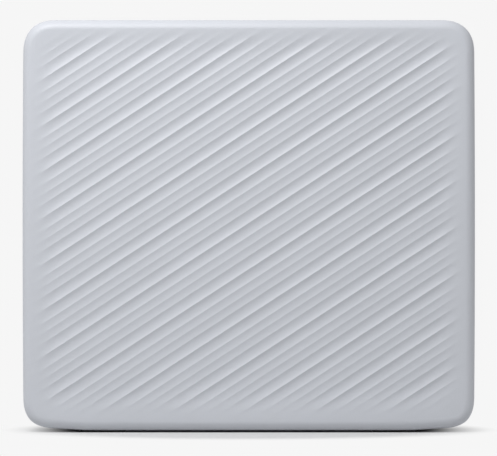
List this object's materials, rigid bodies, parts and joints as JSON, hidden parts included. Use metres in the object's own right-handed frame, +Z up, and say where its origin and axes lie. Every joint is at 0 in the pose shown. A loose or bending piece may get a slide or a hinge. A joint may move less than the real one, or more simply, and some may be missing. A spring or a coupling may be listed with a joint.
{
  "type": "compact photo printer",
  "caption": "Upright compact photo printer: flat ribbed casing, latched film door on a hinge, film chamber, geared roller drive, exit slot in the top and side buttons.",
  "frame": {"origin": "centre of the casing's outline, on the table that the feet rest on", "axes": "+X to the right as the ribbed face is seen, +Y from the ribbed face to the film door, +Z up"},
  "size_m": [0.139, 0.0338, 0.1266],
  "materials": {
    "casing": "fine satin texture",
    "black_plastic": "fine matt texture",
    "rubber": "matt",
    "steel": "bright zinc-plated sheet",
    "spring_steel": "bright drawn wire",
    "screw_steel": "black-plated",
    "bright_screw": "zinc-plated",
    "acetal": "smooth moulded",
    "roller_steel": "ground",
    "roller_rubber": "ground rubber",
    "brass": "machined",
    "felt": "napped",
    "board": "solder mask",
    "can": "tinned sheet",
    "chip": "moulded",
    "connector": "moulded",
    "cell_wrap": "shrink sleeve",
    "flat_cable": "film",
    "red_wire": "sleeving",
    "black_wire": "sleeving",
    "lens": "polished",
    "light_guide": "frosted"
  },
  "bodies": {
    "casing": {"front_shell": "casing", "rear_shell": "casing", "rubber_feet": "rubber", "exit_bezel": "black_plastic", "casing_screws": "screw_steel", "hinge_pins": "steel", "light_seal": "felt", "chassis": "black_plastic", "chassis_screws": "screw_steel", "roller_frame": "steel", "frame_screws": "bright_screw", "drive_bushings": "acetal", "pressure_springs": "spring_steel", "gear_plate": "steel", "gear_shafts": "steel", "motor": "can", "motor_cap": "connector", "motor_screws": "bright_screw", "claw_spring": "spring_steel", "print_head": "black_plastic", "lens_strip": "lens", "head_cable": "flat_cable", "battery": "cell_wrap", "battery_lead": "red_wire", "motor_leads": "black_wire", "main_board": "board", "shield_can": "can", "board_chips": "chip", "board_connectors": "connector", "board_screws": "bright_screw", "charging_socket": "can", "button_spring": "spring_steel", "light_ring": "light_guide", "button_board": "board", "button_switch": "chip", "button_cable": "flat_cable", "door_switch": "chip", "charge_light": "light_guide"},
    "film_door": {"film_door": "casing", "door_liner": "black_plastic", "pack_springs": "spring_steel", "latch_cover": "black_plastic", "latch_springs": "spring_steel", "door_screws": "screw_steel"},
    "door_latch": {"door_latch": "casing"},
    "exit_flap": {"exit_flap": "black_plastic"},
    "drive_roller": {"drive_roller": "roller_steel", "drive_gear": "acetal"},
    "pressure_carriage": {"pressure_bearings": "acetal"},
    "pressure_roller": {"pressure_roller": "roller_rubber", "pressure_gear": "acetal"},
    "upper_gear": {"upper_gear": "acetal"},
    "reduction_gear": {"reduction_gear": "acetal"},
    "cam_wheel": {"cam_wheel": "acetal"},
    "motor_rotor": {"motor_shaft": "steel", "motor_pinion": "brass"},
    "film_claw": {"film_claw": "spring_steel"},
    "power_button": {"power_button": "casing"},
    "switch_plunger": {"switch_plunger": "connector"},
    "reset_button": {"reset_button": "casing"}
  },
  "joints": [
    {"name": "film_door_hinge", "type": "hinge", "parent": "casing", "child": "film_door", "pos_m": [0, 0.0146, 0.0062], "axis": [-1, 0, 0], "range_deg": [0, 90]},
    {"name": "door_latch_slide", "type": "slide", "parent": "film_door", "child": "door_latch", "axis": [0, 0, -1], "range_m": [0, 0.003], "stiffness_N_per_m": 150, "springref_m": -0.002, "deforming": ["latch_springs"]},
    {"name": "exit_flap_hinge", "type": "hinge", "parent": "casing", "child": "exit_flap", "pos_m": [-0.005, -0.00095, 0.1225], "axis": [-1, 0, 0], "range_deg": [0, 75], "stiffness_Nm_per_rad": 0.00005, "springref_deg": -17.19},
    {"name": "drive_roller_spin", "type": "hinge", "parent": "casing", "child": "drive_roller", "pos_m": [-0.005, -0.00645, 0.115], "axis": [1, 0, 0], "continuous": true},
    {"name": "pressure_carriage_slide", "type": "slide", "parent": "casing", "child": "pressure_carriage", "axis": [0, 1, 0], "range_m": [0, 0.0004], "stiffness_N_per_m": 3000, "springref_m": -0.001, "deforming": ["pressure_springs"]},
    {"name": "pressure_roller_spin", "type": "hinge", "parent": "pressure_carriage", "child": "pressure_roller", "pos_m": [-0.005, 0.00165, 0.115], "axis": [1, 0, 0], "continuous": true},
    {"name": "upper_gear_spin", "type": "hinge", "parent": "casing", "child": "upper_gear", "pos_m": [0.05575, -0.00545, 0.10747], "axis": [1, 0, 0], "continuous": true},
    {"name": "reduction_gear_spin", "type": "hinge", "parent": "casing", "child": "reduction_gear", "pos_m": [0.0585, -0.00125, 0.09773], "axis": [1, 0, 0], "continuous": true},
    {"name": "cam_wheel_spin", "type": "hinge", "parent": "casing", "child": "cam_wheel", "pos_m": [0.0613, 0.00175, 0.0809], "axis": [1, 0, 0], "continuous": true},
    {"name": "motor_spin", "type": "hinge", "parent": "casing", "child": "motor_rotor", "pos_m": [0.04, -0.00992, 0.09003], "axis": [1, 0, 0], "continuous": true},
    {"name": "film_claw_slide", "type": "slide", "parent": "casing", "child": "film_claw", "axis": [0, 0, 1], "range_m": [0, 0.007], "stiffness_N_per_m": 30, "springref_m": -0.002, "deforming": ["claw_spring"]},
    {"name": "power_button_press", "type": "slide", "parent": "casing", "child": "power_button", "axis": [-1, 0, 0], "range_m": [0, 0.0008], "stiffness_N_per_m": 800, "springref_m": -0.0005, "deforming": ["button_spring"]},
    {"name": "switch_plunger_press", "type": "slide", "parent": "casing", "child": "switch_plunger", "axis": [0, -1, 0], "range_m": [0, 0.0005], "stiffness_N_per_m": 400, "springref_m": -0.0005},
    {"name": "reset_button_press", "type": "slide", "parent": "casing", "child": "reset_button", "axis": [1, 0, 0], "range_m": [0, 0.0005], "stiffness_N_per_m": 800, "springref_m": -0.0005}
  ],
  "couplings": [
    {"joint": "pressure_roller_spin", "follows": "drive_roller_spin", "ratio": -1},
    {"joint": "upper_gear_spin", "follows": "drive_roller_spin", "ratio": -1.1429},
    {"joint": "reduction_gear_spin", "follows": "drive_roller_spin", "ratio": 2.8571},
    {"joint": "motor_spin", "follows": "drive_roller_spin", "ratio": -10.286},
    {"joint": "cam_wheel_spin", "follows": "drive_roller_spin", "ratio": -3.2143}
  ]
}
